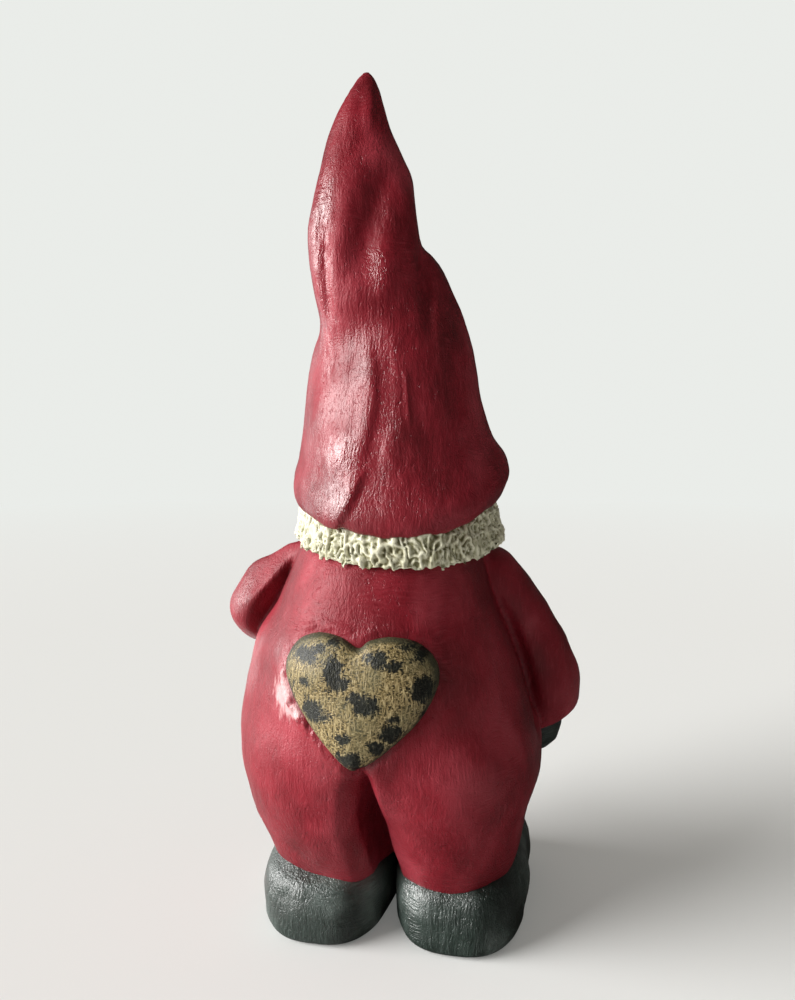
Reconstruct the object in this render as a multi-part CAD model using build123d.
"""Garden gnome: a hand-built hollow ceramic figure, made of separately formed pieces that plug, seat or bed together.

Frame while modelling: origin on the ground under the neck, +Z up, the face looks along -Y and the figure's left is +X.
Before export every piece is moved by one shift, so that the origin is the bottom centre of the whole figure's box.
All sizes are in millimetres. A station is (z, half width, half depth, centre x, centre y).
"""

from build123d import *
import os
from math import cos, radians, sin, sqrt

# Driving dimensions
HEIGHT = 500.0  # sole to hat tip
WALL = 8.0  # fired wall thickness of every hollow form
SOLE = 9.0  # thickness of clay under a boot's firing cavity
NECK_Z = 228.0  # flat top of the body, where the head stands
HEM_Z = 30.0  # lower end of the trouser legs, inside the boots
LEG_X = 38.5  # a trouser leg's centre at the hem
BOOT_X = 42.0  # the left boot's centre
BOOT_Y = -11.0
BOOT_AHEAD = 4.5  # how far the right boot stands ahead of the left
SPIGOT_R = 22.0  # neck spigot, outside
SPIGOT_REACH = 15.0  # how far the spigot stands into the body and into the head
VENT_R = 4.0  # firing vent in each sole
WRIST_R = 8.0  # peg of a mitten, and its socket in the cuff
WRIST_PEG = 15.0
SHOULDER_R = 11.0  # stub of a sleeve, and its hole in the body wall
SHOULDER_PEG = 18.0
HEART_THICK = 9.0

# Head and face
HEAD_C = (0.0, -2.0, 270.0)
HEAD_R = 47.5
HEAD_RZ = 54.0
EYE_R = 4.6
EYE_X = 16.5
EYE_Z = 271.0
NOSE_R = 12.5
NOSE_C = (0.0, -55.0, 257.0)

# The hat's rim is a curve seen from the side: low at the nape, high at the forehead
RIM = [(90.0, 234.5), (66.0, 238.0), (0.0, 256.0), (-62.0, 286.0), (-90.0, 306.0)]
RIM_TILT = 17.0  # degrees that the hat's lowest rings lean back

TORSO = [
    (58, 40, 24, 1, 0),
    (72, 72, 46, 1, 0),
    (90, 86, 65, 3, -1),
    (110, 90, 77, 4, -2),
    (140, 87, 79, 6, -3),
    (157, 83, 77.5, 7, -2),
    (174, 77, 74, 7, -1),
    (195, 66, 67, 5, 1),
    (212, 59, 61, 4, 2),
    (NECK_Z, 53.5, 53, 2, 2),
]
LEG = [
    (HEM_Z, 33, 38, 37, 2),
    (36, LEG_X, 43, LEG_X, 3),
    (50, 42, 50, 41, 3),
    (75, 46, 61, 43, 1),
    (100, 46, 70, 44, -2),
    (125, 40, 62, 42, -2),
]
BOOT = [
    (0, 37.5, 63.0, BOOT_X, BOOT_Y),
    (5, 40.0, 66.0, BOOT_X, BOOT_Y),
    (16, 41.5, 68.5, BOOT_X, BOOT_Y),
    (28, 40.5, 67.0, BOOT_X, BOOT_Y),
    (38, 35.5, 62.0, BOOT_X, BOOT_Y),
    (44, 24.0, 51.0, BOOT_X, BOOT_Y - 2),
]
HAT = [
    (226, 55.0, 53.0, 0, 2),
    (244, 60.5, 58.5, 0, 2),
    (256, 63.5, 62.0, -1, 2),
    (267, 65.3, 64.0, -2, 2),
    (279, 60.5, 59.0, -1, 2),
    (302, 54.2, 53.0, 1, 3),
    (326, 50.9, 49.5, 2, 3),
    (347, 46.8, 45.0, 2, 4),
    (360, 42.5, 41.0, 2, 5),
    (374, 40.8, 38.0, 6, 6),
    (390, 37.5, 33.5, 12, 7),
    (404, 32.5, 29.5, 18, 8),
    (425, 29.3, 26.0, 18, 8),
    (442, 26.0, 23.0, 18, 7),
    (456, 21.5, 19.5, 19, 7),
    (473, 15.5, 14.0, 19, 6),
    (486, 9.8, 9.0, 18, 5),
    (495, 5.5, 5.0, 17, 5),
    (HEIGHT, 2.5, 2.3, 16.5, 5),
]
HAIR = [
    (221, 62.0, 59.0, 0, 2),
    (227, 64.5, 61.5, 0, 2),
    (237, 62.0, 60.0, 0, 2),
    (250, 57.0, 55.0, 0, 1),
    (264, 49.5, 48.0, 0, 1),
]
BEARD = [
    (262, 50.0, 27.0, 0, -24),
    (250, 56.0, 36.0, 0, -27),
    (232, 58.0, 40.0, 0, -33),
    (210, 52.0, 38.0, 0, -46),
    (188, 40.0, 33.0, 0, -59),
    (168, 25.0, 22.0, 0, -72),
    (155, 10.0, 9.0, 2, -84),
]
BEARD_FRONT_Y = -20.0  # the beard lies forward of this plane, and the hair behind it

# Stations of the limbs and moustache: (x, y, z, radius)
LEFT_SLEEVE = [
    (50, 4, 206, 14.0),
    (68, 3, 203, 16.5),
    (80, 2, 197, 17.0),
    (89, -3, 184, 17.0),
    (88, -33, 172, 17.5),
    (75, -60, 161, 18.8),
    (56, -76, 150, 19.5),
]
RIGHT_SLEEVE = [
    (-44, -9, 208, 14.5),
    (-62, -16, 196, 17.5),
    (-74, -21, 178, 18.0),
    (-83, -25, 158, 19.0),
    (-88, -27, 140, 20.0),
    (-86, -28, 121, 18.5),
]
LEFT_MITTEN = [
    (56, -76, 150, 13.0),
    (47, -81, 145, 16.5),
    (36, -85, 140, 16.0),
    (27, -87, 137, 10.0),
]
RIGHT_MITTEN = [
    (-86.0, -28, 121, 12.5),
    (-84.5, -29, 111, 14.5),
    (-83.0, -30, 102, 13.0),
    (-82.0, -31, 96, 7.0),
]
LEFT_THUMB = [(50, -83, 153, 7.5), (40, -90, 155, 7.0), (33, -94, 155, 4.0)]
RIGHT_THUMB = [(-85, -40, 116, 7.0), (-83, -47, 109, 6.5), (-82, -51, 104, 3.5)]
MOUSTACHE = [(3, -60, 247, 7.5), (13, -63, 246, 8.5), (26, -59, 242, 6.5), (37, -51, 238, 3.0)]

# The heart on the seat, drawn in its own plane: x to the figure's left, z up
HEART_C = (6.5, 152.0)  # x, z of its middle
HEART_HALF = 41.5
HEART_TOP = 36.5
HEART_TIP = -36.0
HEART_NOTCH = 31.0


def loft_rings(stations, inset=0.0, tilt=None):
    """A solid skinned over horizontal ellipses. tilt gives the backward lean of each ring in degrees."""
    rings = []
    for i, (z, half_x, half_y, cx, cy) in enumerate(stations):
        lean = radians(tilt[i]) if tilt else 0.0
        plane = Plane(origin=(cx, cy, z), x_dir=(1, 0, 0), z_dir=(0, sin(lean), cos(lean)))
        rings.append(plane * Ellipse(half_x - inset, half_y - inset))
    return loft(rings)


def tube(stations, reference):
    """A solid skinned over circles that stand square to a line of stations."""
    points = [Vector(*s[:3]) for s in stations]
    circles = []
    for i, point in enumerate(points):
        before, after = points[max(i - 1, 0)], points[min(i + 1, len(points) - 1)]
        plane = Plane(origin=point, x_dir=reference, z_dir=after - before)
        circles.append(plane * Circle(stations[i][3]))
    return loft(circles)


def mirrored(shape):
    return mirror(shape, Plane.YZ)


def block(x, y, z):
    """A box between two x, two y and two z values."""
    size = Box(x[1] - x[0], y[1] - y[0], z[1] - z[0])
    return Pos((x[0] + x[1]) / 2, (y[0] + y[1]) / 2, (z[0] + z[1]) / 2) * size


def post(x, y, z_low, z_high, radius):
    return Pos(x, y, (z_low + z_high) / 2) * Cylinder(radius, z_high - z_low)


def peg(start, toward, radius, length):
    """A cylinder that starts at a point and runs a length toward another."""
    plane = Plane(origin=start, z_dir=Vector(*toward) - Vector(*start))
    return plane * Pos(0, 0, length / 2) * Cylinder(radius, length)


def body_form(inset=0.0):
    """Torso and both trouser legs as one filled form, or its cavity when inset by the wall."""
    legs = loft_rings(LEG, inset)
    return loft_rings(TORSO, inset) + legs + mirrored(legs)


def shoulder_stub(sleeve):
    """The stub on the inner end of a sleeve that plugs through the body wall."""
    return peg(sleeve[1][:3], sleeve[0][:3], SHOULDER_R, SHOULDER_PEG)


def make_body(form, stubs):
    """The hollow torso and legs, open at the neck, the hems and the shoulder holes."""
    ceiling = NECK_Z - WALL
    cavity = body_form(WALL) & block((-100, 100), (-100, 100), (0, ceiling))
    body = form - cavity - post(0, 0, ceiling - 1, NECK_Z + 1, SPIGOT_R)
    for stub in stubs:
        body -= stub
    return body


def make_boot(leg, ahead=0.0):
    """A boot with a well for the trouser leg, a firing cavity below it and a vent in the sole."""
    cavity = loft_rings([(SOLE, 18, 30, LEG_X, 2), (HEM_Z, 25, 30, LEG_X, 2)])
    vent = post(LEG_X, 2, -1, SOLE + 1, VENT_R)
    return Pos(0, -ahead, 0) * loft_rings(BOOT) - leg - cavity - vent


def make_sleeve(stations, reference, form):
    """A sleeve that lies against the body, with its shoulder stub and a socket for the wrist peg."""
    cuff, before = stations[-1][:3], stations[-2][:3]
    socket = peg(cuff, before, WRIST_R, WRIST_PEG)
    return tube(stations, reference) - form + shoulder_stub(stations) - socket


def make_mitten(stations, thumb, reference, sleeve_stations, form, sleeve):
    """A closed mitten with its thumb, and the peg that goes up the cuff."""
    cuff, before = sleeve_stations[-1][:3], sleeve_stations[-2][:3]
    hand = tube(stations, reference) + tube(thumb, reference)
    return hand - sleeve + peg(cuff, before, WRIST_R, WRIST_PEG) - form


def head_form(inset=0.0):
    """The egg of the head, by turning half an ellipse round its upright axis."""
    half = Ellipse(HEAD_R - inset, HEAD_RZ - inset) & Pos(50, 0) * Rectangle(100, 200)
    return Pos(*HEAD_C) * revolve(Plane.XZ * half, Axis.Z)


def eye_ball(side):
    """A glazed bead, set so that a little under a third of it stands out of the face."""
    depth = sqrt(HEAD_R**2 - EYE_X**2) - EYE_R * 0.45
    return Pos(side * EYE_X, HEAD_C[1] - depth, EYE_Z) * Sphere(EYE_R)


def make_head(nose, eyes):
    """The hollow head, flat where it stands on the shoulders, with sockets for nose and eyes."""
    below = block((-60, 60), (-60, 60), (200, NECK_Z))
    head = head_form() - head_form(WALL) - below
    head -= post(0, 0, NECK_Z - 1, NECK_Z + SPIGOT_REACH, SPIGOT_R)
    for piece in [nose, *eyes]:
        head -= piece
    return head


def make_spigot():
    """A plain clay tube that keys the head to the body."""
    low, high = NECK_Z - SPIGOT_REACH, NECK_Z + SPIGOT_REACH
    return post(0, 0, low, high, SPIGOT_R) - post(0, 0, low - 1, high + 1, SPIGOT_R - WALL)


def hat_form(inset=0.0):
    """The hat filled in: a bell that flares at the rim, and above it the crumpled horn that leans aside."""
    stations = HAT[:-3] if inset else HAT
    tilt = [RIM_TILT if z < 270 else max(0.0, RIM_TILT * (302 - z) / 32) for z, *_ in stations]
    tilt[0] = 0.0
    return loft_rings(stations, inset, tilt)


def below_rim():
    """Everything under the rim's curve, seen from the side."""
    curve = Spline(*RIM)
    floor = Polyline(RIM[-1], (RIM[-1][0], 200.0), (RIM[0][0], 200.0), RIM[0])
    side = make_face(Plane.YZ * (curve + floor))
    return extrude(side, 100, both=True)


def make_hair(hat, form):
    """The strip of hair round the nape, from cheek to cheek under the rim."""
    front = block((-80, 80), (-80, BEARD_FRONT_Y), (200, 280))
    return loft_rings(HAIR) - front - head_form() - form - hat


def make_beard(moustaches, nose, form, limbs):
    """The beard over the chest, hollowed behind for the face, chest and hands."""
    back = block((-80, 80), (BEARD_FRONT_Y, 60), (140, 280))
    face = Pos(0, -60, 282) * Rot(90, 0, 0) * Cylinder(38, 80)
    beard = loft_rings(BEARD) - back - face - head_form() - form
    for piece in [*moustaches, nose, *limbs]:
        beard -= piece
    return beard


def heart_outline():
    """One heart, symmetric about its middle, with two full lobes and nearly straight flanks."""
    right = Spline(
        (0, HEART_NOTCH),
        (HEART_HALF * 0.5, HEART_TOP),
        (HEART_HALF, HEART_TOP * 0.42),
        (HEART_HALF * 0.78, -HEART_TOP * 0.22),
        (0, HEART_TIP),
        tangents=[(0.75, 0.9), (-0.85, -0.72)],
    )
    return make_face(right + mirror(right, Plane.YZ))


def make_heart(form):
    """The heart follows the curve of the seat: the body grown by its thickness, cut to the outline."""
    grown = loft_rings(TORSO, -HEART_THICK) + loft_rings(LEG, -HEART_THICK)
    grown += mirrored(loft_rings(LEG, -HEART_THICK))
    outline = Plane(origin=(HEART_C[0], 0, HEART_C[1]), x_dir=(1, 0, 0), z_dir=(0, -1, 0)) * heart_outline()
    return extrude(outline, -110) & grown - form


def largest(shape):
    """Keeps the biggest solid, dropping slivers that a cut may leave."""
    return max(shape.solids(), key=lambda s: s.volume)


def build():
    """All the pieces by name."""
    form = body_form()
    leg = loft_rings(LEG)
    stubs = [shoulder_stub(s) for s in (LEFT_SLEEVE, RIGHT_SLEEVE)]
    eyes = [eye_ball(1), eye_ball(-1)]
    ball = Pos(*NOSE_C) * Sphere(NOSE_R)
    nose = ball - head_form(EYE_R)
    hat_solid = hat_form()
    hat = hat_solid - hat_form(WALL) - below_rim()
    bedding = (hat_form(WALL) & block((-80, 80), (-80, 80), (296, 312))) - head_form()
    sleeves = [make_sleeve(LEFT_SLEEVE, (0, 0, 1), form), make_sleeve(RIGHT_SLEEVE, (0, 1, 0), form)]
    mittens = [
        make_mitten(LEFT_MITTEN, LEFT_THUMB, (0, 0, 1), LEFT_SLEEVE, form, sleeves[0]),
        make_mitten(RIGHT_MITTEN, RIGHT_THUMB, (0, 1, 0), RIGHT_SLEEVE, form, sleeves[1]),
    ]
    half = tube(MOUSTACHE, (0, 0, 1)) - head_form() - ball - block((-20, 0.2), (-90, 0), (200, 280))
    moustaches = [half, mirrored(half)]
    return {
        "body_shell": make_body(form, stubs),
        "left_boot": make_boot(leg),
        "right_boot": mirrored(make_boot(leg, BOOT_AHEAD)),
        "left_sleeve": sleeves[0],
        "right_sleeve": sleeves[1],
        "left_mitten": mittens[0],
        "right_mitten": mittens[1],
        "neck_spigot": make_spigot(),
        "head": make_head(nose, eyes),
        "nose": nose,
        "left_eye": eyes[0],
        "right_eye": eyes[1],
        "nape_hair": make_hair(hat, form),
        "beard": make_beard(moustaches, ball, form, [*sleeves, *mittens, hat]),
        "left_moustache": moustaches[0],
        "right_moustache": moustaches[1],
        "hat": hat,
        "hat_bedding": bedding,
        "heart_patch": make_heart(form),
    }


if __name__ == "__main__":
    os.makedirs("parts", exist_ok=True)
    pieces = {name: largest(shape) for name, shape in build().items()}
    box = Compound(list(pieces.values())).bounding_box()
    shift = Pos(-box.center().X, -box.center().Y, -box.min.Z)
    print("shift", shift.position, "size", box.size)
    for name, shape in pieces.items():
        export_step(shift * shape, os.path.join("parts", name + ".step"))
